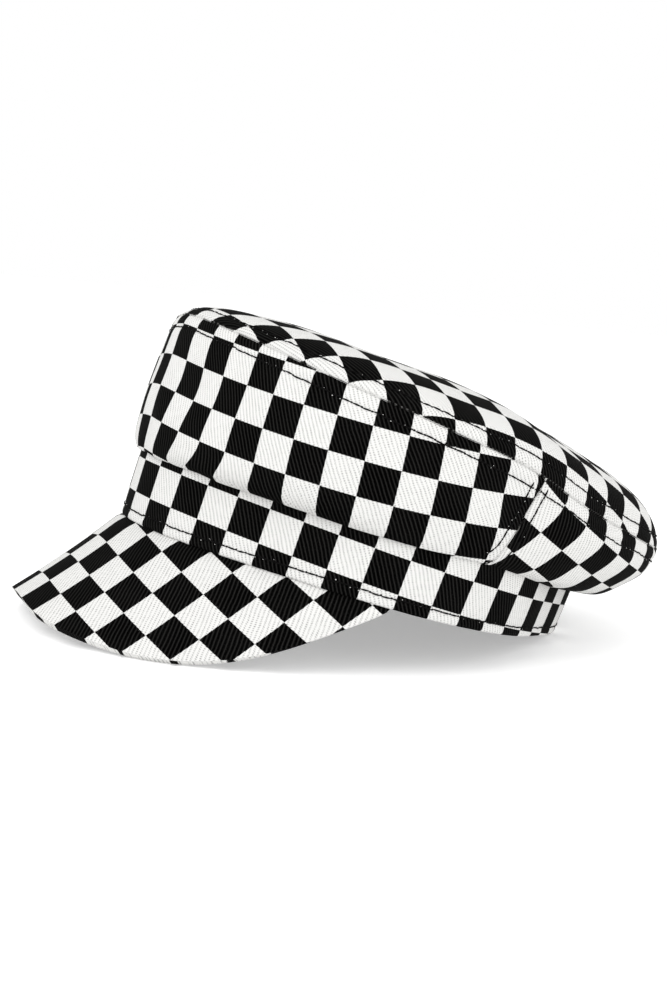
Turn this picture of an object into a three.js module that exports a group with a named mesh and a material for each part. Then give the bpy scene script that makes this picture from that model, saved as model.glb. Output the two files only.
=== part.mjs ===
// Fisherman cap in checked cotton twill: a soft crown of three cloth panels on an upright band,
// with a stiff peak under the band's front. Millimetres, +Z up, the wearer's left is +X.
// Every piece is drawn with the band upright and the front towards -Y. The whole cap is then
// tipped back to the way it lies by itself, on the low points of its peak and the back of its band.

import * as THREE from 'three';

const { degToRad, euclideanModulo, lerp } = THREE.MathUtils;

// Cloth thicknesses, and the space left between neighbouring pieces.
const CLOTH = 1.3;
const BAND_CLOTH = 2.2;
const PEAK_BOARD = 3.6;
const SEAM_GAP = 0.3;

// The band's height, and how much it widens for each millimetre of height.
const BAND_HEIGHT = 33;
const BAND_FLARE = 0.04;

// How far the cap is tipped back at rest, and how much of its soft edges the floor flattens.
const REST_TILT = degToRad(15.7);
const FLATTENED = 0.8;

// Half of the band's outline at its lower edge, from the front centre round to the back centre.
// It bends most at the front, beside the peak's ends and at the back.
const BAND_OUTLINE = [
  { across: 0, along: -98.7 },
  { across: 26.2, along: -92.6 },
  { across: 48.8, along: -77.7 },
  { across: 68.1, along: -58.5 },
  { across: 84.3, along: -36.7 },
  { across: 91.3, along: -10.7 },
  { across: 86.6, along: 16 },
  { across: 74.7, along: 40.4 },
  { across: 57.8, along: 61.6 },
  { across: 38.9, along: 81.2 },
  { across: 16, along: 95.7 },
  { across: 0, along: 98.7 },
];

// Sections through band and crown, from the front centre (at 0) to the back centre (at 1).
// low is the band's lower edge, and fold the lowest line of the crown's overhang. The crown's
// wall stands out from the band's outline by bellyOut and highOut at the heights beside them.
const SECTIONS = [
  { at: 0, low: 0, fold: 27.1, bellyOut: 4.6, belly: 37.5, highOut: 4.8, high: 61 },
  { at: 0.14, low: 1, fold: 27.1, bellyOut: 8.4, belly: 38, highOut: 8, high: 60 },
  { at: 0.28, low: 3.2, fold: 27.5, bellyOut: 11.4, belly: 38, highOut: 12.8, high: 60 },
  { at: 0.42, low: 5.3, fold: 29, bellyOut: 6.4, belly: 40.7, highOut: 7.4, high: 58 },
  { at: 0.53, low: 6.7, fold: 31.5, bellyOut: 7, belly: 46, highOut: 6.2, high: 56 },
  { at: 0.64, low: 8, fold: 31, bellyOut: 12, belly: 41.5, highOut: 17, high: 54 },
  { at: 0.8, low: 10.2, fold: 30.2, bellyOut: 19, belly: 39, highOut: 26.2, high: 49 },
  { at: 1, low: 12, fold: 30.4, bellyOut: 16.4, belly: 41, highOut: 25, high: 49.2 },
];

// The rim seam, which stands out from the band's outline by rimOut, and how much the top panel
// puffs up inside it.
const RIM_SEAM = [
  { at: 0, rimOut: 3.4, rim: 82.6, puff: 0.54 },
  { at: 0.14, rimOut: 7.2, rim: 79.8, puff: 0.62 },
  { at: 0.28, rimOut: 11, rim: 75.4, puff: 0.7 },
  { at: 0.42, rimOut: 5.6, rim: 71.9, puff: 0.82 },
  { at: 0.53, rimOut: 6.8, rim: 69.2, puff: 0.91 },
  { at: 0.64, rimOut: 13, rim: 63.2, puff: 1 },
  { at: 0.8, rimOut: 25.2, rim: 59.4, puff: 1.03 },
  { at: 1, rimOut: 32.5, rim: 59, puff: 1.06 },
];

// Between fold and belly the crown's wall bulges: shares of the way out and of the way up.
const UNDER_OUT = 0.62;
const UNDER_UP = 0.25;

// The top panel is a puffed oval. Each ring lies at a share of the way from its middle to the rim
// seam, and stands over the straight line between the two by its bulge times the puff there.
const TOP_MIDDLE = new THREE.Vector3(0, 15.5, 94.8);
const TOP_RINGS = [
  { share: 0.94, bulge: 9.2 },
  { share: 0.82, bulge: 12.6 },
  { share: 0.6, bulge: 12.1 },
  { share: 0.32, bulge: 7.7 },
  { share: 0, bulge: 0 },
];

// The seams between the crown's front and back panels lean forwards on their way down.
const SIDE_SEAM_RIM = 0.552;
const SIDE_SEAM_FOLD = 0.524;

// Half of the peak's free edge in the flat: sideways from its middle, and forwards from the
// middle of its seam. Its rulings run forwards and down, bend up a little and draw together.
const PEAK_EDGE = [
  { side: 0, forward: 49.8 },
  { side: 28, forward: 49.2 },
  { side: 57, forward: 39.6 },
  { side: 78, forward: 26.6 },
  { side: 91, forward: 12 },
  { side: 100.2, forward: -5 },
  { side: 107, forward: -26.2 },
  { side: 112.5, forward: -47 },
];
const PEAK_SLOPE = degToRad(55.5);
const PEAK_BEND = 0.00124;
const PEAK_DRAW_IN = 0.0015;
const PEAK_END = 0.426;

// Facets: columns round the cap, and rows along each stretch of a section.
const BAND_COLUMNS = 112;
const FRONT_COLUMNS = 60;
const BACK_COLUMNS = 52;
const TOP_COLUMNS = 96;
const WALL_ROWS = [2, 2, 3, 3];
const TOP_ROWS = [2, 2, 2, 1, 1];
const PEAK_COLUMNS = 46;
const PEAK_ROWS = 6;

// The band's outline as one closed curve, measured in shares of half its length.
const mirrored = BAND_OUTLINE.slice(1, -1)
  .reverse()
  .map(({ across, along }) => ({ across: -across, along }));
const outline = new THREE.CatmullRomCurve3(
  [...BAND_OUTLINE, ...mirrored].map(({ across, along }) => new THREE.Vector3(across, along, 0)),
  true,
);
outline.arcLengthDivisions = 1200;
const HALF_GIRTH = outline.getLength() / 2;

function aroundBand(share, out, height) {
  const turn = euclideanModulo(share / 2, 1);
  const point = outline.getPointAt(turn);
  const tangent = outline.getTangentAt(turn);
  return new THREE.Vector3(point.x + tangent.y * out, point.y - tangent.x * out, height);
}

// Smooth curves through the columns of a table, one for each column after the first.
function smoothColumns(table) {
  const [first, ...columns] = Object.keys(table[0]);
  const places = table.map((row) => row[first]);
  const curves = columns.map((column) => {
    const curve = new THREE.CubicInterpolant(places, table.map((row) => row[column]), 1, [0]);
    curve.settings = { endingStart: THREE.ZeroSlopeEnding, endingEnd: THREE.ZeroCurvatureEnding };
    return [column, curve];
  });
  return (place) => Object.fromEntries(curves.map(([column, curve]) => [column, curve.evaluate(place)[0]]));
}

const sectionAt = smoothColumns(SECTIONS);
const rimSeamAt = smoothColumns(RIM_SEAM);
const fromFront = (share) => 1 - Math.abs(1 - euclideanModulo(share, 2));
const section = (share) => sectionAt(fromFront(share));

// The crown's outside from the foot of its wall over the rim to the middle of the top panel.
// The foot ends against the band with the thickness of the cloth between them.
function crownLine(share) {
  const { low, fold, bellyOut, belly, highOut, high } = section(share);
  const { rimOut, rim, puff } = rimSeamAt(fromFront(share));
  const face = BAND_FLARE * (fold - low) + SEAM_GAP;
  const under = { out: lerp(face, bellyOut, UNDER_OUT), height: lerp(fold, belly, UNDER_UP) };
  const steepness = (under.height - fold) / Math.hypot(under.height - fold, under.out - face);
  const wall = [
    aroundBand(share, face + CLOTH * steepness, fold),
    aroundBand(share, under.out, under.height),
    aroundBand(share, bellyOut, belly),
    aroundBand(share, highOut, high),
    aroundBand(share, rimOut, rim),
  ];
  const top = TOP_RINGS.map((ring) => {
    const point = TOP_MIDDLE.clone().lerp(wall.at(-1), ring.share);
    point.z += puff * ring.bulge;
    return point;
  });
  return new THREE.CatmullRomCurve3([...wall, ...top], false, 'centripetal');
}

const STRETCHES = WALL_ROWS.length + TOP_ROWS.length;
const RIM = WALL_ROWS.length / STRETCHES;

function crownPoint(share, rise) {
  return crownLine(share).getPoint(THREE.MathUtils.clamp(rise, 0, 1));
}

function crownNormal(share, rise) {
  const step = 0.004;
  const around = crownPoint(share + step, rise).sub(crownPoint(share - step, rise));
  const along = crownPoint(share, rise + step).sub(crownPoint(share, rise - step));
  const normal = around.cross(along);
  return normal.length() > 1e-6 ? normal.normalize() : new THREE.Vector3(0, 0, 1);
}

// Places along the crown's line at which a piece has its rows of corners.
function rowPlaces(rows, firstStretch) {
  const places = [firstStretch / STRETCHES];
  rows.forEach((count, stretch) => {
    for (let row = 1; row <= count; row += 1) {
      places.push((firstStretch + stretch + row / count) / STRETCHES);
    }
  });
  return places;
}

// One closed body from two matching grids of points, its outside and its inside. Corners that
// fall together, as at the middle of the top panel, become one.
function clothBody(outside, inside, closed) {
  const positions = [];
  const known = new Map();
  const corner = (point) => {
    const key = point.toArray().map((value) => value.toFixed(4)).join(' ');
    if (!known.has(key)) {
      known.set(key, positions.length / 3);
      positions.push(...point.toArray());
    }
    return known.get(key);
  };
  const outer = outside.map((column) => column.map(corner));
  const inner = inside.map((column) => column.map(corner));
  const index = [];
  const triangle = (a, b, c) => {
    if (a !== b && b !== c && c !== a) index.push(a, b, c);
  };
  const quad = (a, b, c, d) => {
    triangle(a, b, c);
    triangle(a, c, d);
  };
  const last = outer[0].length - 1;
  const columns = closed ? outer.length : outer.length - 1;
  for (let i = 0; i < columns; i += 1) {
    const next = (i + 1) % outer.length;
    for (let j = 0; j < last; j += 1) {
      quad(outer[i][j], outer[next][j], outer[next][j + 1], outer[i][j + 1]);
      quad(inner[i][j + 1], inner[next][j + 1], inner[next][j], inner[i][j]);
    }
    quad(inner[i][0], inner[next][0], outer[next][0], outer[i][0]);
    quad(outer[i][last], outer[next][last], inner[next][last], inner[i][last]);
  }
  if (!closed) {
    const end = outer.length - 1;
    for (let j = 0; j < last; j += 1) {
      quad(inner[0][j], outer[0][j], outer[0][j + 1], inner[0][j + 1]);
      quad(outer[end][j], inner[end][j], inner[end][j + 1], outer[end][j + 1]);
    }
  }
  const geometry = new THREE.BufferGeometry();
  geometry.setAttribute('position', new THREE.Float32BufferAttribute(positions, 3));
  geometry.setIndex(index);
  geometry.computeVertexNormals();
  return geometry;
}

function namedMesh(name, geometry, color) {
  const material = new THREE.MeshStandardMaterial({ color, roughness: 0.9, metalness: 0 });
  const mesh = new THREE.Mesh(geometry, material);
  mesh.name = name;
  return mesh;
}

// A crown panel: shareAt gives the place round the cap for a column and a row of its grid.
function crownPanel(name, columns, closed, places, shareAt, color) {
  const outside = [];
  const inside = [];
  for (let i = 0; i < columns + (closed ? 0 : 1); i += 1) {
    const spots = places.map((rise) => ({ share: shareAt(i / columns, rise), rise }));
    const points = spots.map(({ share, rise }) => crownPoint(share, rise));
    const normals = spots.map(({ share, rise }) => crownNormal(share, rise));
    outside.push(points);
    inside.push(points.map((point, j) => point.clone().addScaledVector(normals[j], -CLOTH)));
  }
  return namedMesh(name, clothBody(outside, inside, closed), color);
}

const wallPlaces = rowPlaces(WALL_ROWS, 0);
const topPlaces = rowPlaces(TOP_ROWS, WALL_ROWS.length);
const rimStep = 0.5 * SEAM_GAP / 12 / STRETCHES;
wallPlaces[wallPlaces.length - 1] -= rimStep;
topPlaces[0] += rimStep;

const seamShare = (rise) => lerp(SIDE_SEAM_FOLD, SIDE_SEAM_RIM, rise / RIM);
const seamStep = 0.5 * SEAM_GAP / HALF_GIRTH;

function crownFront() {
  const shareAt = (column, rise) => (2 * column - 1) * (seamShare(rise) - seamStep);
  return crownPanel('crown_front', FRONT_COLUMNS, false, wallPlaces, shareAt, 0x8f8e8a);
}

function crownBack() {
  const shareAt = (column, rise) => {
    const from = seamShare(rise) + seamStep;
    return lerp(from, 2 - from, column);
  };
  return crownPanel('crown_back', BACK_COLUMNS, false, wallPlaces, shareAt, 0x85847f);
}

function crownTop() {
  return crownPanel('crown_top', TOP_COLUMNS, true, topPlaces, (column) => 2 * column, 0x989792);
}

function band() {
  const outside = [];
  const inside = [];
  for (let i = 0; i < BAND_COLUMNS; i += 1) {
    const share = 2 * i / BAND_COLUMNS;
    const { low } = section(share);
    const heights = [0, BAND_HEIGHT / 2, BAND_HEIGHT];
    outside.push(heights.map((up) => aroundBand(share, BAND_FLARE * up, low + up)));
    inside.push(heights.map((up) => aroundBand(share, BAND_FLARE * up - BAND_CLOTH, low + up)));
  }
  return namedMesh('band', clothBody(outside, inside, true), 0x8b8a86);
}

// The peak: its seam follows the band's lower edge, and straight rulings run from there to the
// free edge. side is measured over the peak's arch, as on the flat cloth.
const forwards = new THREE.Vector3(0, -Math.cos(PEAK_SLOPE), -Math.sin(PEAK_SLOPE));
const overPeak = new THREE.Vector3(0, -Math.sin(PEAK_SLOPE), Math.cos(PEAK_SLOPE));
const peakEdgeAt = smoothColumns(PEAK_EDGE);

const peakSeam = (share) => aroundBand(share, 0, section(share).low - SEAM_GAP);

function archLength(share) {
  const steps = 60;
  const flatten = (point) => point.addScaledVector(forwards, -point.dot(forwards));
  let length = 0;
  let before = flatten(peakSeam(0));
  for (let step = 1; step <= steps; step += 1) {
    const here = flatten(peakSeam(share * step / steps));
    length += here.distanceTo(before);
    before = here;
  }
  return length;
}

function peakRuling(share) {
  const seam = peakSeam(share);
  const seamForward = seam.clone().sub(peakSeam(0)).dot(forwards);
  const length = peakEdgeAt(archLength(share)).forward - seamForward;
  const direction = forwards.clone();
  direction.x -= PEAK_DRAW_IN * seam.x;
  return { seam, length, direction: direction.normalize() };
}

function peakPoint({ seam, length, direction }, reach) {
  const distance = reach * length;
  return seam.clone()
    .addScaledVector(direction, distance)
    .addScaledVector(overPeak, PEAK_BEND * distance ** 2);
}

function peak() {
  const outside = [];
  const inside = [];
  for (let i = 0; i <= PEAK_COLUMNS; i += 1) {
    const share = lerp(-PEAK_END, PEAK_END, i / PEAK_COLUMNS);
    const ruling = peakRuling(share);
    const before = peakRuling(share - 0.003);
    const after = peakRuling(share + 0.003);
    const top = [];
    const bottom = [];
    for (let j = 0; j <= PEAK_ROWS; j += 1) {
      const reach = 1 - j / PEAK_ROWS;
      const point = peakPoint(ruling, reach);
      const around = peakSeam(share + 0.003).sub(peakSeam(share - 0.003));
      const across = around.addScaledVector(forwards, -around.dot(forwards));
      const along = ruling.direction.clone().negate();
      along.addScaledVector(overPeak, -2 * PEAK_BEND * reach * ruling.length);
      const normal = across.cross(along).normalize();
      top.push(point);
      bottom.push(point.clone().addScaledVector(normal, -PEAK_BOARD));
    }
    outside.push(top);
    inside.push(bottom);
  }
  return namedMesh('peak', clothBody(outside, inside, false), 0x8b8a86);
}

// Tips the cap back, stands the middle of its box on the floor and flattens what would go below.
function layDown(cap) {
  cap.rotation.x = -REST_TILT;
  cap.updateMatrixWorld(true);
  const box = new THREE.Box3().setFromObject(cap, true);
  cap.position.set(
    -(box.min.x + box.max.x) / 2,
    -(box.min.y + box.max.y) / 2,
    -box.min.z - FLATTENED,
  );
  cap.updateMatrixWorld(true);
  for (const mesh of cap.children) {
    const corners = mesh.geometry.attributes.position;
    const corner = new THREE.Vector3();
    for (let i = 0; i < corners.count; i += 1) {
      corner.fromBufferAttribute(corners, i).applyMatrix4(mesh.matrixWorld);
      if (corner.z < 0) {
        corner.z = 0;
        mesh.worldToLocal(corner);
        corners.setXYZ(i, ...corner.toArray());
      }
    }
  }
  return cap;
}

const cap = new THREE.Group();
cap.add(peak(), band(), crownFront(), crownBack(), crownTop());

export default layDown(cap);
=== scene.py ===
import math
import random

import bmesh
import bpy
import numpy as np
from mathutils import Matrix, Vector, noise
from mathutils.bvhtree import BVHTree
from mathutils.kdtree import KDTree


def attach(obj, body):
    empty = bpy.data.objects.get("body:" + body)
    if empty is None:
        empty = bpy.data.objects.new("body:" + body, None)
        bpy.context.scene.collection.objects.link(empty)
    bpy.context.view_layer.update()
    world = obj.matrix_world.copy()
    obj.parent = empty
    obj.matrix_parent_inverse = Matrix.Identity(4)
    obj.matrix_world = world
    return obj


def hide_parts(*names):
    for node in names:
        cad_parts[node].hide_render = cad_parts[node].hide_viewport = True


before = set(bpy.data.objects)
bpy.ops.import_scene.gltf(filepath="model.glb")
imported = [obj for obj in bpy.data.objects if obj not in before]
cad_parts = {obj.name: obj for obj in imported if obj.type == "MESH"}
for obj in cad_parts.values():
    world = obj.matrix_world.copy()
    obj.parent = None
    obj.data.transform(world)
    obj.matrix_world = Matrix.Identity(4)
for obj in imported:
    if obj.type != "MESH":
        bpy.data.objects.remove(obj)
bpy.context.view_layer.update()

# The band
# The upright band goes round the head under the crown. It is one strip of checked twill, doubled
# over, closed by a seam at the back centre and topstitched close above its lower edge.

# The cap lies tipped back on the floor. Patterns and seams are laid out on it as it is sewn,
# with the band upright, the front at -Y and its lower edge's front at height 0.
TIPPED_BACK = math.radians(15.7)
TURN = np.array(Matrix.Rotation(-TIPPED_BACK, 3, "X"))
LIES_AT = np.array([0, -0.0034935, 0.0144333])
HEAD_MIDDLE = np.array([0, 0.015, 0.05])


def upright(points):
    """Points of the cap as it lies, moved to where they are with the band upright."""
    return (np.asarray(points) - LIES_AT) @ TURN


def lying(points):
    """Points of the upright cap, moved to where they lie."""
    return np.asarray(points) @ TURN.T + LIES_AT


def vectors(items, what):
    """One vector of each corner or face of a mesh, as the rows of an array."""
    rows = np.empty(len(items) * 3, np.float32)
    items.foreach_get(what, rows)
    return rows.reshape(-1, 3).astype(float)


def corners_of(piece):
    return vectors(piece.data.vertices, "co")


def normals_of(piece):
    return vectors(piece.data.vertex_normals, "vector")


def move_corners(piece, corners):
    piece.data.vertices.foreach_set("co", np.asarray(corners, np.float32).ravel())
    piece.data.update()


def pick_only(piece):
    bpy.ops.object.select_all(action="DESELECT")
    piece.select_set(True)
    bpy.context.view_layer.objects.active = piece


MERGE = 1e-5
SHARP = math.radians(50)
THICKEST_CLOTH = 0.0028


def sewn_copy(node, name, rounding, segments=2):
    """The panel as it is cut and folded: the frame's solid with soft edges and smooth faces."""
    piece = bpy.data.objects.new(name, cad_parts[node].data.copy())
    bpy.context.collection.objects.link(piece)
    piece.data.materials.clear()
    pick_only(piece)
    bpy.ops.object.mode_set(mode="EDIT")
    bpy.ops.mesh.select_all(action="SELECT")
    bpy.ops.mesh.remove_doubles(threshold=MERGE)
    bpy.ops.mesh.customdata_custom_splitnormals_clear()
    bpy.ops.mesh.tris_convert_to_quads(
        face_threshold=math.radians(40), shape_threshold=math.radians(60)
    )
    bpy.ops.object.mode_set(mode="OBJECT")
    soft = piece.modifiers.new("soft edges", "BEVEL")
    soft.width = rounding
    soft.segments = segments
    soft.limit_method = "ANGLE"
    soft.angle_limit = SHARP
    smooth = piece.modifiers.new("smooth cloth", "SUBSURF")
    smooth.levels = smooth.render_levels = 2
    for modifier in ("soft edges", "smooth cloth"):
        bpy.ops.object.modifier_apply(modifier=modifier)
    bpy.ops.object.shade_smooth()
    return piece


def outer_edge(node):
    """The corners on the outer side of a frame node's cut edges, in the upright cap."""
    shell = bmesh.new()
    shell.from_mesh(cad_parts[node].data)
    bmesh.ops.remove_doubles(shell, verts=shell.verts, dist=MERGE)
    sharp = set()
    for edge in shell.edges:
        if len(edge.link_faces) == 2 and edge.calc_face_angle() > SHARP:
            sharp.update(edge.verts)
    middle = Vector(lying(HEAD_MIDDLE))
    outer = []
    for corner in shell.verts:
        if corner not in sharp:
            continue
        across = [edge.other_vert(corner) for edge in corner.link_edges]
        across = [v for v in across if v in sharp and (v.co - corner.co).length < THICKEST_CLOTH]
        partner = min(across, key=lambda v: (v.co - corner.co).length, default=None)
        if partner is None:
            continue
        if (corner.co - middle).length > (partner.co - middle).length:
            outer.append(corner.co[:])
    shell.free()
    return upright(outer)


def nearest_stretch(points, starts, ends):
    """The nearest stretch of a flat line to each point, and how far along it, from 0 to 1."""
    ways = ends - starts
    squared = (ways**2).sum(1)
    best = np.empty(len(points), int)
    share = np.empty(len(points))
    at_once = 4000
    for first in range(0, len(points), at_once):
        gaps = points[first : first + at_once, None] - starts
        along = np.clip((gaps * ways).sum(2) / squared, 0, 1)
        gaps = gaps - along[..., None] * ways
        nearest = np.hypot(gaps[..., 0], gaps[..., 1]).argmin(1)
        best[first : first + at_once] = nearest
        share[first : first + at_once] = along[np.arange(len(nearest)), nearest]
    return best, share


class LevelLine:
    """The outline of some panels at one height, to measure how far round the cap points lie."""

    HEADINGS = 120
    MIDDLE_Y = 0.01
    AHEAD = np.array([[0, -0.12, 0]])

    def __init__(self, nodes, height):
        found = []
        for node in nodes:
            shell = bmesh.new()
            shell.from_mesh(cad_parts[node].data)
            for corner in shell.verts:
                corner.co = Vector(upright(corner.co))
            cut = bmesh.ops.bisect_plane(
                shell,
                geom=shell.verts[:] + shell.edges[:] + shell.faces[:],
                plane_co=(0, 0, height),
                plane_no=(0, 0, 1),
            )
            level = cut["geom_cut"]
            found += [v.co[:2] for v in level if isinstance(v, bmesh.types.BMVert)]
            shell.free()
        found = np.array(found)
        full_turn = 2 * math.pi
        turns = np.arctan2(found[:, 0], self.MIDDLE_Y - found[:, 1]) % full_turn
        away = np.hypot(found[:, 0], found[:, 1] - self.MIDDLE_Y)
        outermost = set()
        for step in range(self.HEADINGS):
            heading = step * full_turn / self.HEADINGS
            aside = np.abs((turns - heading + math.pi) % full_turn - math.pi)
            near = np.where(aside < 0.8 * full_turn / self.HEADINGS)[0]
            if len(near):
                outermost.add(near[away[near].argmax()])
        self.starts = found[sorted(outermost, key=lambda number: turns[number])]
        self.ends = np.roll(self.starts, -1, axis=0)
        self.lengths = np.hypot(*(self.ends - self.starts).T)
        self.before = np.cumsum(self.lengths) - self.lengths
        self.girth = self.lengths.sum()
        self.front = 0.0
        self.front = self.measure(self.AHEAD)[0]

    def measure(self, points):
        """How far round they lie, from the front centre to the wearer's left and all round."""
        best, share = nearest_stretch(np.asarray(points)[:, :2], self.starts, self.ends)
        return (self.before[best] + share * self.lengths[best] - self.front) % self.girth

    def both_ways(self, points):
        """The same up to the back centre, and below 0 on the wearer's right."""
        around = self.measure(points)
        return np.where(around > self.girth / 2, around - self.girth, around)


def evenly(line, spacing, closed=False):
    """Points along a line at an even spacing, rounded to a whole number of steps."""
    line = np.asarray(line)
    if closed:
        line = np.vstack([line, line[:1]])
    lengths = np.r_[0, np.cumsum(np.linalg.norm(np.diff(line, axis=0), axis=1))]
    steps = max(2, round(lengths[-1] / spacing))
    places = np.linspace(0, lengths[-1], steps + 1)
    points = np.stack([np.interp(places, lengths, line[:, i]) for i in range(3)], 1)
    return points[:-1] if closed else points


def nearest_on(line, points):
    """For each point, the nearest one of a line of close points."""
    tree = KDTree(len(line))
    for number, point in enumerate(line):
        tree.insert(point, number)
    tree.balance()
    return np.array([tree.find(point)[0] for point in points])


def distance_from(points, line):
    return np.linalg.norm(nearest_on(line, points) - points, axis=1)


def finer_near(piece, line, reach):
    """Halves the faces near a seam, for its ridges and valleys."""
    chosen = distance_from(upright(vectors(piece.data.polygons, "center")), line) < reach
    pick_only(piece)
    bpy.ops.object.mode_set(mode="EDIT")
    bpy.ops.mesh.select_mode(type="FACE")
    bpy.ops.mesh.select_all(action="DESELECT")
    bpy.ops.object.mode_set(mode="OBJECT")
    piece.data.polygons.foreach_set("select", chosen)
    bpy.ops.object.mode_set(mode="EDIT")
    bpy.ops.mesh.subdivide(number_cuts=1)
    bpy.ops.object.mode_set(mode="OBJECT")
    bpy.ops.object.shade_smooth()


def hump(distance, at, width):
    """1 at one distance, and softly down to 0 on both sides of it."""
    return np.exp(-(((distance - at) / width) ** 2))


def uneven(points, size, seed=0):
    """Soft noise from -1 to 1 that changes over the given size."""
    return np.array([noise.noise(Vector(point) / size + Vector((seed, 0, 0))) for point in points])


def outer_share(piece, points):
    """1 on the cloth's face, 0 on its reverse."""
    away = points - HEAD_MIDDLE
    away /= np.linalg.norm(away, axis=1)[:, None]
    facing = ((normals_of(piece) @ TURN) * away).sum(1)
    return np.clip(facing * 3 + 0.3, 0, 1)


def lay_checks(piece, across, up, turn_length=None):
    """Stores for each corner where it lies on the checked cloth, in checks, as a UV map."""
    loops = np.empty(len(piece.data.loops), np.int32)
    piece.data.loops.foreach_get("vertex_index", loops)
    places = np.stack([across[loops], up[loops]], 1)
    if turn_length:
        # A face across the line where the count starts again keeps to one side of it.
        starts = np.empty(len(piece.data.polygons), np.int32)
        piece.data.polygons.foreach_get("loop_start", starts)
        face = np.repeat(np.arange(len(starts)), np.diff(np.r_[starts, len(loops)]))
        highest = np.maximum.reduceat(places[:, 0], starts)
        places[:, 0] += turn_length * (highest[face] - places[:, 0] > turn_length / 2)
    layer = piece.data.uv_layers.new(name="checks")
    layer.data.foreach_set("uv", places.astype(np.float32).ravel())


class Dye:
    """A socket of the material that is being made. Sums on it add Math nodes."""

    def __init__(self, tree, socket=None):
        self.tree = tree
        self.socket = socket

    def node(self, kind, sockets=None, out=0, **settings):
        made = self.tree.nodes.new("ShaderNode" + kind)
        for key, value in settings.items():
            setattr(made, key, value)
        for key, value in (sockets or {}).items():
            if isinstance(value, Dye):
                self.tree.links.new(value.socket, made.inputs[key])
            else:
                made.inputs[key].default_value = value
        return Dye(self.tree, made.outputs[out])

    def math(self, operation, *values):
        return self.node("Math", dict(enumerate(values)), operation=operation)

    def __add__(self, other):
        return self.math("ADD", self, other)

    def __sub__(self, other):
        return self.math("SUBTRACT", self, other)

    def __rsub__(self, other):
        return self.math("SUBTRACT", other, self)

    def __mul__(self, other):
        return self.math("MULTIPLY", self, other)

    __radd__ = __add__
    __rmul__ = __mul__

    def noise(self, place, scale, detail):
        return self.node("TexNoise", {"Vector": place, "Scale": scale, "Detail": detail})

    def mixed(self, share, other):
        """This colour with a share of another one. A Mix node's colours are its 6, 7 and out 2."""
        sockets = {"Factor": share, 6: self, 7: other}
        return self.node("Mix", sockets, out=2, data_type="RGBA")

    def colour(self, red, green, blue):
        return self.node("CombineColor", {0: red, 1: green, 2: blue})

    def surface(self, sockets):
        """Ends the material: links for what varies over the surface, numbers for the rest."""
        shader = self.node("BsdfPrincipled", sockets)
        out = self.tree.nodes.new("ShaderNodeOutputMaterial")
        self.tree.links.new(shader.socket, out.inputs[0])


def new_material(name):
    """An empty material, and the start of its nodes."""
    material = bpy.data.materials.new(name)
    material.use_nodes = True
    material.node_tree.nodes.clear()
    return material, Dye(material.node_tree)


CHECK = 0.0136
RIB_WIDTH = 0.00148
RIB_LEAN = (0.87, 0.5)
FLOAT_LENGTH = 0.0009
TOOTH = 0.014
RIB_DEPTH = 0.00011


def checked_twill(name, black, white, valley_shade_depth):
    """Cotton twill in black and white checks: diagonal ribs, and a printed pattern on them."""
    cloth, dye = new_material(name)
    place = dye.node("UVMap", uv_map="checks")
    across = place.node("SeparateXYZ", {0: place}, out="X")
    up = place.node("SeparateXYZ", {0: place}, out="Y")

    # Ribs of yarn, each a row of short floats that start at another place.
    ribs = (across * RIB_LEAN[0] + up * RIB_LEAN[1]) * (CHECK / RIB_WIDTH)
    along = (across * RIB_LEAN[1] - up * RIB_LEAN[0]) * (CHECK / FLOAT_LENGTH)
    ribs = ribs + (dye.noise(place, scale=1.7, detail=1) - 0.5) * 0.5
    in_rib = ribs.math("FRACT", ribs)
    rib_number = ribs.math("FLOOR", ribs)
    cord = 0.5 - 0.5 * ribs.math("COSINE", in_rib * (2 * math.pi))
    start = rib_number.node("TexWhiteNoise", {"W": rib_number}, noise_dimensions="1D")
    floats = along + start * 7.0
    in_float = floats.math("FRACT", floats)
    float_number = floats.math("FLOOR", floats) + rib_number * 37.0
    chance = dye.node("TexWhiteNoise", {"W": float_number}, noise_dimensions="1D")

    # The checks' edges follow the ribs in fine teeth.
    tooth = (in_rib - 0.5) * TOOTH
    column = across + tooth
    row = up - tooth * 0.8
    half = (column.math("FLOOR", column) + row.math("FLOOR", row)) * 0.5
    pale = half.math("FRACT", half) * 2.0

    # Grey dashes of painted shade darken the white in the valleys between its ribs, and a painted
    # highlight lightens the black along the ribs' crests.
    valley = 1 - cord
    mottle = dye.noise(place, scale=0.8, detail=4) - 0.5
    fine = dye.noise(place, scale=26, detail=2) - 0.5
    dashes = valley * valley * in_float.math("LESS_THAN", in_float, 0.55)
    painted_valley_shade = dashes * (0.3 + chance * 0.38)
    # The white check, less its painted valley shade, with a little random mottle.
    light = white * (1 - valley_shade_depth * painted_valley_shade + mottle * 0.06 + fine * 0.05)
    # Painted highlight: the black check is lighter on the crests of its ribs.
    dark = black * (0.05 + cord * cord * cord * 2.3 + mottle * 0.8 + fine * 2.2)
    light = dye.colour(light, light * 0.996, light * 0.974)
    dark = dye.colour(dark, dark * 0.985, dark * 0.93)

    height = cord * 0.7 + in_float.math("PINGPONG", in_float, 0.5) * 0.35 + fine * 0.5
    dye.surface(
        {
            "Base Color": dark.mixed(pale, light),
            "Roughness": 0.78 + pale * 0.1,
            "Normal": dye.node("Bump", {"Height": height, "Distance": RIB_DEPTH, "Strength": 1}),
            "Specular IOR Level": 0.01,
        }
    )
    return cloth


# The last number of each is how deep the painted shade in the white's valleys is.
twill = checked_twill("checked twill", black=0.0055, white=0.62, valley_shade_depth=1.0)
reverse = checked_twill("checked twill reverse", black=0.04, white=0.6, valley_shade_depth=0.8)


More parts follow.
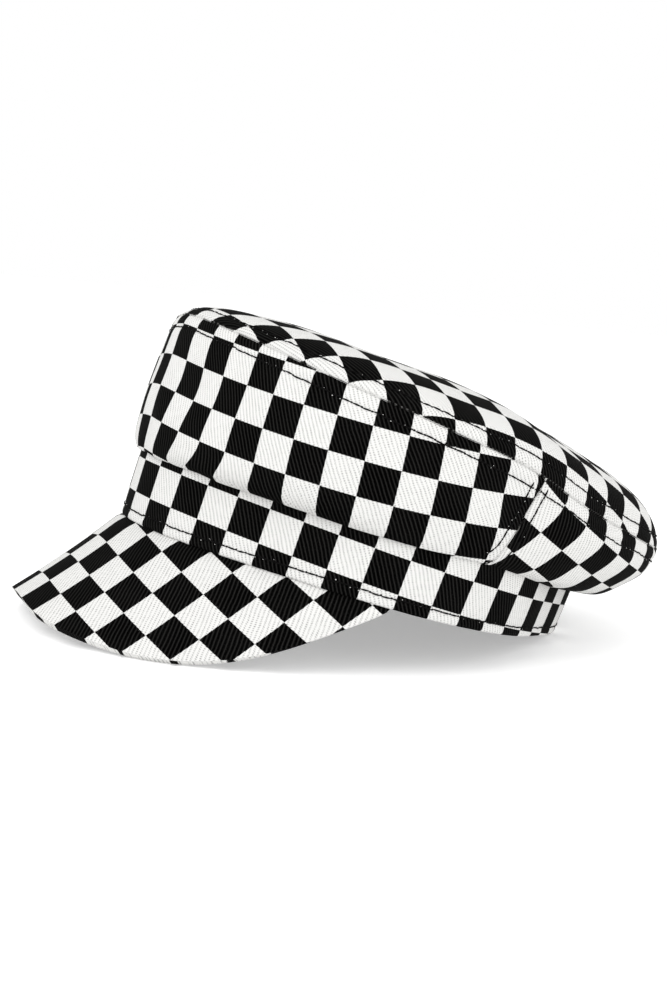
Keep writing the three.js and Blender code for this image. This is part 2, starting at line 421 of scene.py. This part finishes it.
def dress(piece, node):
    """The cloth's face outside and its reverse inside, and the piece's place in the frame.

    The peak is covered on both sides, so it shows the cloth's face all over.
    """
    piece.data.materials.append(twill)
    piece.data.materials.append(reverse)
    away = upright(vectors(piece.data.polygons, "center")) - HEAD_MIDDLE
    facing = vectors(piece.data.polygons, "normal") @ TURN
    inside = ((facing * away).sum(1) < 0) & (node != "peak")
    piece.data.polygons.foreach_set("material_index", inside.astype(np.int32))
    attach(piece, "root")
    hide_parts(node)


BAND_MIDDLE = 0.02
BAND_STITCH_UP = 0.0038
BAND_STITCH_DEPTH = 0.00028
HEM_FULLNESS = 0.00012
BAND_DENTS = 0.00025
BACK_SEAM_DEPTH = 0.0006
VALLEY_WIDTH = 0.0009
BAND_FINE_REACH = 0.0065
BAND_START = (-0.1, -0.847)
BAND_CHECK_WIDTH = 0.01366
BAND_CHECK_HEIGHT = 0.01301
CLOSE_POINTS = 0.0005

band_line = LevelLine(["band"], BAND_MIDDLE)
band = sewn_copy("band", "band_cloth", rounding=0.0009, segments=3)
lower = outer_edge("band")
lower = lower[lower[:, 2] < BAND_MIDDLE]
lower = lower[np.argsort(band_line.measure(lower))]
hem = evenly(lower, CLOSE_POINTS, closed=True)
finer_near(band, hem, BAND_FINE_REACH)
band_up = upright(corners_of(band))
from_hem = distance_from(band_up, hem)
pull = -BAND_STITCH_DEPTH * hump(from_hem, BAND_STITCH_UP, VALLEY_WIDTH)
pull += HEM_FULLNESS * hump(from_hem, 0.0016, 0.001)
pull *= 0.8 + 0.5 * uneven(band_up, 0.006)
pull += BAND_DENTS * uneven(band_up, 0.022, seed=3) * np.clip(from_hem / 0.008, 0, 1)
around = band_line.both_ways(band_up)
pull -= BACK_SEAM_DEPTH * hump(band_line.girth / 2 - np.abs(around), 0, VALLEY_WIDTH)
pull *= outer_share(band, band_up)
move_corners(band, corners_of(band) + normals_of(band) * pull[:, None])
lay_checks(
    band,
    BAND_START[0] + around / BAND_CHECK_WIDTH,
    BAND_START[1] + band_up[:, 2] / BAND_CHECK_HEIGHT,
    turn_length=band_line.girth / BAND_CHECK_WIDTH,
)
dress(band, "band")

# The crown's panels
# The crown is soft twill in three panels: one round the front and sides, one at the back, and an
# oval top. They are sewn together at the rim and at two slanting seams, and turned under at the
# band.

CROWN_LINE_UP = 0.045
crown_line = LevelLine(["crown_front", "crown_back"], CROWN_LINE_UP)

rim = outer_edge("crown_top")
rim = rim[np.argsort(np.arctan2(rim[:, 0], LevelLine.MIDDLE_Y - rim[:, 1]))]
rim = evenly(rim, CLOSE_POINTS, closed=True)

# The slanting seams run up the back panel's edges, where it meets the side panel.
SEAM_GAP = 0.001
SEAMS_APART = 0.06
back_edge = outer_edge("crown_back")
meets_side = distance_from(back_edge, outer_edge("crown_front")) < SEAM_GAP
side_seams = []
for side in (1, -1):
    seam = back_edge[meets_side & (back_edge[:, 0] * side > SEAMS_APART / 2)]
    side_seams.append(evenly(seam[np.argsort(seam[:, 2])], CLOSE_POINTS))

# How far the stitches are from the seams, and how the cloth is drawn in along both.
RIM_STITCH = 0.0056
SIDE_STITCH = 0.0036
FINE_PAST_STITCH = 0.0035
SEAM_DEPTH = 0.0005
SEAM_WIDTH = 0.0011
SEAM_FULLNESS = 0.0002
CROWN_STITCH_DEPTH = 0.0003
CROWN_STITCH_WIDTH = 0.001
SEAM_CLOSING = 0.0007
HELD_BY_SEAM = 0.004
FREE_AFTER = 0.012


def sew_together(piece, seams, ripple):
    """Draws the cloth in at its seams and at the stitches beside them, and lets it ripple."""
    for seam, stitch in seams:
        finer_near(piece, seam, stitch + FINE_PAST_STITCH)
    points = upright(corners_of(piece))
    pull = np.zeros(len(points))
    free = np.ones(len(points))
    pucker = 0.75 + 0.6 * uneven(points, 0.007, seed=5)
    for seam, stitch in seams:
        away = distance_from(points, seam)
        pull -= SEAM_DEPTH * hump(away, 0, SEAM_WIDTH)
        pull += SEAM_FULLNESS * hump(away, stitch * 0.5, stitch * 0.3) * pucker
        pull -= CROWN_STITCH_DEPTH * hump(away, stitch, CROWN_STITCH_WIDTH) * pucker
        free *= np.clip((away - HELD_BY_SEAM) / FREE_AFTER, 0, 1)
    pull += ripple(points) * free
    pull *= outer_share(piece, points)
    shift = normals_of(piece) * pull[:, None]
    for seam, stitch in seams:
        # The edges meet at the seam, so that no light comes through it.
        towards = nearest_on(seam, points) - points
        away = np.linalg.norm(towards, axis=1)
        close = SEAM_CLOSING * hump(away, 0.0003, 0.0009) * np.clip(away / 0.0003, 0, 1)
        shift += (towards / np.maximum(away, 1e-6)[:, None] * close[:, None]) @ TURN.T
    move_corners(piece, corners_of(piece) + shift)


BAG_OVER_BAND = 0.0006
FRONT_REACH = 0.09
FRONT_FULLNESS = 0.0007
RIPPLE_DEPTH = 0.0015
RIPPLE_WIDTH = 0.016
RIPPLE_HEIGHT = 0.024
SIDE_DENTS = 0.0006
BACK_DENTS = 0.0008
TOP_DENTS = 0.0012


def side_ripple(points):
    """Soft upright ripples round the front, a bag over the band, and shallow dents all over."""
    around = crown_line.both_ways(points)
    height = points[:, 2]
    bag = BAG_OVER_BAND * hump(height, 0.031, 0.005) * hump(np.abs(around), 0.055, 0.04)
    places = np.stack([around / RIPPLE_WIDTH, height / RIPPLE_HEIGHT, around * 0], 1)
    front = np.clip(1 - np.abs(around) / FRONT_REACH, 0, 1)
    ripples = front * (FRONT_FULLNESS + RIPPLE_DEPTH * uneven(places, 1.0, seed=7))
    return bag + ripples + SIDE_DENTS * uneven(points, 0.03)


def back_ripple(points):
    return BACK_DENTS * uneven(points, 0.03, seed=11)


def top_ripple(points):
    return TOP_DENTS * uneven(points, 0.04, seed=13)


# The cloth drapes, so the checks lie a little out of square. The values say how many checks there
# are to a metre, and how that changes over the panel. Columns are counted round it, rows up it.
SIDE_START = (0.937, -2.31)
SIDE_COLUMNS = 81
GATHER_FROM = 0.06
COLUMNS_WIDEN = 25.3
COLUMNS_GATHER = 98
COLUMNS_LEAN = 2.6
COLUMNS_SWING = 0.5
COLUMNS_SLACK = 0.26
SIDE_ROWS = 79.2
ROWS_RISE = 9.2
ROWS_BEND = 68

side_panel = sewn_copy("crown_front", "crown_side_panel", rounding=0.0004)
wall_seams = [(rim, RIM_STITCH), (side_seams[0], SIDE_STITCH), (side_seams[1], SIDE_STITCH)]
sew_together(side_panel, wall_seams, side_ripple)
side_up = upright(corners_of(side_panel))
around = crown_line.both_ways(side_up)
height = side_up[:, 2]
# The columns swing outwards in the fold over the band, and the cloth is slack near the front.
swing = np.clip((0.038 - height) / 0.01, 0, 1) ** 2
swing *= np.clip((0.085 - np.abs(around)) / 0.05, 0, 1) * np.clip(around / 0.03, -1, 1)
slack = hump(around, 0, 0.013) * hump(height, 0.078, 0.012)
slack -= hump(around, 0.027, 0.014) * hump(height, 0.055, 0.013)
to_a_metre = SIDE_COLUMNS - COLUMNS_WIDEN * np.abs(around)
to_a_metre += COLUMNS_GATHER * (height - GATHER_FROM)
columns = SIDE_START[0] + around * to_a_metre - COLUMNS_LEAN * height
rows = SIDE_START[1] + SIDE_ROWS * height + ROWS_RISE * np.hypot(around, 0.01)
lay_checks(
    side_panel,
    columns + COLUMNS_SWING * swing + COLUMNS_SLACK * slack,
    rows - ROWS_BEND * around**2,
)
dress(side_panel, "crown_front")

# Of each pair the first is for the back panel's columns, the second for its rows.
BACK_START = (1.385, 0.078)
BACK_ROUND = (65.1, 18.2)
BACK_ROUND_BEND = (57, -116)
BACK_UP = (-36, 83.3)
BACK_UP_BEND = (380, -555)
BACK_TWIST = (310, 184)
BACK_FROM = 0.2
BACK_BEND_ENDS = 0.07

back_panel = sewn_copy("crown_back", "crown_back_panel", rounding=0.0004)
sew_together(back_panel, wall_seams, back_ripple)
back_up = upright(corners_of(back_panel))
past = crown_line.measure(back_up) - BACK_FROM
bent = np.minimum(past, BACK_BEND_ENDS)
height = back_up[:, 2] - CROWN_LINE_UP
columns, rows = [
    BACK_START[way]
    + BACK_ROUND[way] * past
    + BACK_ROUND_BEND[way] * bent**2
    + height * (BACK_UP[way] + BACK_TWIST[way] * bent + BACK_UP_BEND[way] * height)
    for way in (0, 1)
]
lay_checks(back_panel, columns, rows)
dress(back_panel, "crown_back")

# The top's columns are counted from front to back and its rows from left to right. On the
# wearer's left the cloth falls towards the rim, which draws both out of line.
TOP_START = (5.03, 5.51)
TOP_COLUMNS = 73.6
TOP_ROWS = 73.5
TOP_SLACK = (0.2, 0.28)
RIM_UP = 0.08
LEFT_STARTS = 0.045

top_panel = sewn_copy("crown_top", "crown_top_panel", rounding=0.0004)
sew_together(top_panel, [(rim, RIM_STITCH)], top_ripple)
x, y, z = upright(corners_of(top_panel)).T
above_rim = z - RIM_UP
left = np.clip(x / LEFT_STARTS, 0, 1)
left = left * left * (3 - 2 * left)
drape = -left * y * (350 * above_rim + 60 * y)
fall = left * (35.3 * above_rim + 10 * (x - 0.07) - 4.3 * y)
slack = hump(x, 0.08, 0.014) * hump(y, 0, 0.02)
lay_checks(
    top_panel,
    TOP_START[0] + TOP_COLUMNS * y + drape + TOP_SLACK[0] * slack,
    TOP_START[1] - TOP_ROWS * x + fall + TOP_SLACK[1] * slack,
)
dress(top_panel, "crown_top")

# The peak
# The peak is a stiff insert covered in the same twill above and below, with the cloth wrapped round
# its edge. It is sewn under the band's front and arches down on both sides.

PEAK_SLOPE = math.radians(55.5)
FORWARDS = np.array([0, -math.cos(PEAK_SLOPE), -math.sin(PEAK_SLOPE)])
OVER = np.array([0, -math.sin(PEAK_SLOPE), math.cos(PEAK_SLOPE)])
SEAM_MIDDLE = np.array([0, -0.0987, 0])
SEAM_REACH = 0.14
TUCK_WIDTH = 0.0022
TUCKED_IN = 0.0014
TUCKED_UP = 0.0006
HALF_EDGE = 0.00125
PEAK_START = (0.39, 0.82)
PEAK_COLUMNS = 74.6
PEAK_ROWS = 73

peak = sewn_copy("peak", "peak_cover", rounding=0.0015, segments=3)
peak_up = upright(corners_of(peak))
# The sewn edge is tucked under the band.
seam_end = hump(distance_from(peak_up, hem), 0, TUCK_WIDTH)[:, None]
inward = np.array([0, LevelLine.MIDDLE_Y, 0]) - peak_up
inward[:, 2] = 0
inward /= np.linalg.norm(inward, axis=1)[:, None]
peak_up += seam_end * (inward * TUCKED_IN + np.array([0, 0, TUCKED_UP]))
move_corners(peak, lying(peak_up))

# The cover is measured as flat cloth: sideways over the peak's arch, and forwards from its seam.
turns = band_line.both_ways(lower)
ahead = lower[np.argsort(turns)]
ahead = ahead[np.abs(np.sort(turns)) < SEAM_REACH]
arch = np.stack([ahead[:, 0], ahead @ OVER], 1)
lengths = np.r_[0, np.cumsum(np.hypot(*np.diff(arch, axis=0).T))]
lengths -= np.interp(0, arch[:, 0], lengths)
best, share = nearest_stretch(np.stack([peak_up[:, 0], peak_up @ OVER], 1), arch[:-1], arch[1:])
sideways = lengths[best] + share * np.diff(lengths)[best]
forward = peak_up @ FORWARDS - SEAM_MIDDLE @ FORWARDS
turned = np.clip((normals_of(peak) @ TURN) @ OVER, -1, 1)
forward += HALF_EDGE * (1 - turned)
# Its columns draw together a little towards the edge, and its rows bend back at both sides.
aside = np.hypot(sideways, 0.01)
columns = sideways * (PEAK_COLUMNS - 9.6 * aside + 50 * forward) + forward * (0.9 + 21 * forward)
rows = 9 * aside - 95 * sideways**2 - forward * (PEAK_ROWS + 79 * aside + 79 * forward)
lay_checks(peak, PEAK_START[0] + columns, PEAK_START[1] + rows)
dress(peak, "peak")

# The stitching
# Black sewing thread in short topstitches: once round the band above its lower edge, on both sides
# of the rim seam, and on both sides of each slanting seam. Pale fibres show at the needle's holes.


def black_thread():
    thread, dye = new_material("black thread")
    strands = dye.noise(dye.node("TexCoord", out="Object"), scale=2600, detail=2)
    shade = 0.001 + strands * 0.005
    dye.surface(
        {
            "Base Color": dye.colour(shade, shade, shade * 0.95),
            "Roughness": 0.75,
            "Normal": dye.node("Bump", {"Height": strands, "Distance": 0.0001, "Strength": 0.8}),
            "Specular IOR Level": 0.03,
        }
    )
    return thread


def pale_fibre():
    fibre, dye = new_material("pale fibre")
    fuzz = dye.noise(dye.node("TexCoord", out="Object"), scale=900, detail=2)
    shade = 0.25 + fuzz * 0.5
    dye.surface({"Base Color": dye.colour(shade, shade, shade * 0.96), "Roughness": 0.95})
    return fibre


STITCH = 0.004
STITCH_SHOWN = 0.0038
THREAD = 0.00062
KNOT = 1.6 * THREAD
HOLE_FIBRE = 0.0004


def small_form(segments, rings, lift=0, arch=0):
    """A ball 1 long and 1 thick with its poles along X, lifted, and arched down at its ends."""
    bpy.ops.object.select_all(action="DESELECT")
    bpy.ops.mesh.primitive_uv_sphere_add(segments=segments, ring_count=rings, radius=0.5)
    ball = bpy.context.object
    ball.data.transform(Matrix.Rotation(math.radians(90), 4, "Y"))
    corners = corners_of(ball)
    corners[:, 2] += lift - arch * corners[:, 0] ** 2
    faces = [tuple(face.vertices) for face in ball.data.polygons]
    bpy.data.objects.remove(ball)
    return corners, faces


stitch_form = small_form(8, 6, lift=0.3, arch=1.6)
tuft_form = small_form(5, 3)


def surface_of(*pieces):
    corners, faces = [], []
    for piece in pieces:
        faces += [[i + len(corners) for i in face.vertices] for face in piece.data.polygons]
        corners += [corner.co[:] for corner in piece.data.vertices]
    return BVHTree.FromPolygons(corners, faces)


def beside(line, cloth, step, closed):
    """The line moved over the cloth by a step, to the left of its direction seen from outside."""
    points = [Vector(point) for point in lying(line)]
    middle = Vector(lying(HEAD_MIDDLE))
    count = len(points)
    reach = 3
    moves = 4
    thicker_than_cloth = 0.003

    def outer_spot(point):
        outward = (point - middle).normalized()
        spot, normal = cloth.find_nearest(point)[:2]
        if normal.dot(outward) < 0.2:
            # This is the cloth's reverse or its edge. Its face is looked for from outside.
            spot, normal = cloth.find_nearest(spot + outward * thicker_than_cloth)[:2]
        return outward, spot, normal

    for move in range(moves):
        moved = []
        for number, point in enumerate(points):
            if closed:
                before = points[number - reach]
                after = points[(number + reach) % count]
            else:
                before = points[max(number - reach, 0)]
                after = points[min(number + reach, count - 1)]
            outward, spot, normal = outer_spot(point)
            if move < moves / 2:
                normal = outward
            sideways = normal.cross(after - before).normalized()
            moved.append(spot + sideways * step / moves)
        points = [(moved[i - 1] + moved[i] * 2 + moved[(i + 1) % count]) / 4 for i in range(count)]
        if not closed:
            points = moved[:1] + points[1:-1] + moved[-1:]
    if not closed:
        points = points[1:-1]
    return upright([outer_spot(point)[1] for point in points])


class Yarn:
    """Many small forms that become one piece."""

    def __init__(self):
        self.corners = []
        self.faces = []

    def add(self, form, spot, along, across, out):
        """Adds a form at a spot, with its length, width and height as vectors."""
        corners, faces = form
        first = len(self.corners)
        self.corners += [spot + along * x + across * y + out * z for x, y, z in corners]
        self.faces += [[i + first for i in face] for face in faces]

    def piece(self, name, material, slot):
        """Makes the mesh of all the forms and places it in the frame."""
        mesh = bpy.data.meshes.new(name)
        mesh.from_pydata([corner[:] for corner in self.corners], [], self.faces)
        mesh.materials.append(material)
        piece = bpy.data.objects.new(name, mesh)
        bpy.context.collection.objects.link(piece)
        pick_only(piece)
        bpy.ops.object.shade_smooth()
        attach(piece, "root")


def stitch_along(line, cloth, closed, thread, tufts, rng):
    """Stitches along a line on the cloth, with a knot and a few tufts at each one's hole."""
    points = [Vector(point) for point in lying(evenly(line, STITCH, closed))]
    for number in range(len(points) if closed else len(points) - 1):
        start, end = points[number], points[(number + 1) % len(points)]
        spot, normal = cloth.find_nearest((start + end) / 2)[:2]
        along = (end - start).normalized()
        across = normal.cross(along).normalized()
        along = (along + across * rng.uniform(-0.1, 0.1)).normalized()
        across = normal.cross(along).normalized()
        length = STITCH_SHOWN * rng.uniform(0.88, 1.08)
        spot = spot + across * rng.uniform(-0.0002, 0.0002)
        thread.add(stitch_form, spot, along * length, across * THREAD, normal * THREAD)
        thread.add(tuft_form, start, along * KNOT, across * KNOT, normal * KNOT * 0.4)
        for _ in range(rng.choice((0, 1, 1, 2))):
            size = HOLE_FIBRE * rng.uniform(0.6, 1.3)
            hole = start + along * rng.uniform(-0.001, 0.001) + across * rng.uniform(-0.0008, 0.0008)
            hole = cloth.find_nearest(hole)[0]
            tufts.add(tuft_form, hole, along * size, across * size, normal * size * 0.5)


rng = random.Random(4)
black = black_thread()
pale_tuft = pale_fibre()
top_cloth = surface_of(top_panel)
wall_cloth = surface_of(side_panel, back_panel)
side_cloth = surface_of(side_panel)
back_cloth = surface_of(back_panel)
stitch_rows = {
    "band": [(hem, surface_of(band), BAND_STITCH_UP, True)],
    "rim_top": [(rim, top_cloth, RIM_STITCH, True)],
    "rim_wall": [(rim, wall_cloth, -RIM_STITCH, True)],
    "side_seams": [
        (side_seams[0], side_cloth, SIDE_STITCH, False),
        (side_seams[0], back_cloth, -SIDE_STITCH, False),
        (side_seams[1], side_cloth, -SIDE_STITCH, False),
        (side_seams[1], back_cloth, SIDE_STITCH, False),
    ],
}
tufts = Yarn()
for name, lines in stitch_rows.items():
    thread = Yarn()
    for line, cloth, step, closed in lines:
        row = beside(line[::4], cloth, step, closed)
        stitch_along(row, cloth, closed, thread, tufts, rng)
    thread.piece("topstitch_" + name, black, "black_thread")
tufts.piece("needle_hole_fibres", pale_tuft, "checked_twill")

# The view
# The cap lies by itself on a pale plain floor, under soft plain studio light. It is seen from its
# left side, from a little in front and above.

bpy.ops.object.select_all(action="DESELECT")
bpy.ops.mesh.primitive_plane_add(size=60, location=(0, 0, 0))
floor = bpy.context.object
floor.name = "floor"
pale = bpy.data.materials.new("pale floor")
pale.use_nodes = True
shader = pale.node_tree.nodes["Principled BSDF"]
shader.inputs["Base Color"].default_value = (0.8, 0.8, 0.8, 1)
shader.inputs["Roughness"].default_value = 0.9
shader.inputs["Emission Color"].default_value = (1, 1, 1, 1)
shader.inputs["Emission Strength"].default_value = 0.35
floor.data.materials.append(pale)

world = bpy.data.worlds.new("studio")
bpy.context.scene.world = world
world.use_nodes = True
world.node_tree.nodes["Background"].inputs[0].default_value = (1, 1, 1, 1)
world.node_tree.nodes["Background"].inputs[1].default_value = 1.0
bpy.context.scene.view_settings.view_transform = "Standard"

CAP_MIDDLE = Vector((0, 0, 0.06))


def soft_light(name, at, size, power):
    light = bpy.data.lights.new(name, "AREA")
    light.size = size
    light.energy = power
    lamp = bpy.data.objects.new(name, light)
    bpy.context.collection.objects.link(lamp)
    lamp.location = at
    lamp.rotation_euler = (CAP_MIDDLE - Vector(at)).to_track_quat("-Z", "Y").to_euler()


soft_light("key light", (0.6, -1.0, 1.5), size=1.2, power=13)
soft_light("fill light", (1.2, 0.9, 0.7), size=1.4, power=10)
soft_light("front light", (0.1, -1.5, 0.6), size=1.2, power=4)

camera = bpy.data.objects.new("camera", bpy.data.cameras.new("camera"))
bpy.context.collection.objects.link(camera)
camera.location = (0.51993, -0.24521, 0.13227)
camera.rotation_euler = [math.radians(turn) for turn in (81.799, -5.408, 66.524)]
camera.data.sensor_fit = "VERTICAL"
camera.data.sensor_height = 36
camera.data.lens = 50
camera.data.clip_start = 0.01
bpy.context.scene.camera = camera
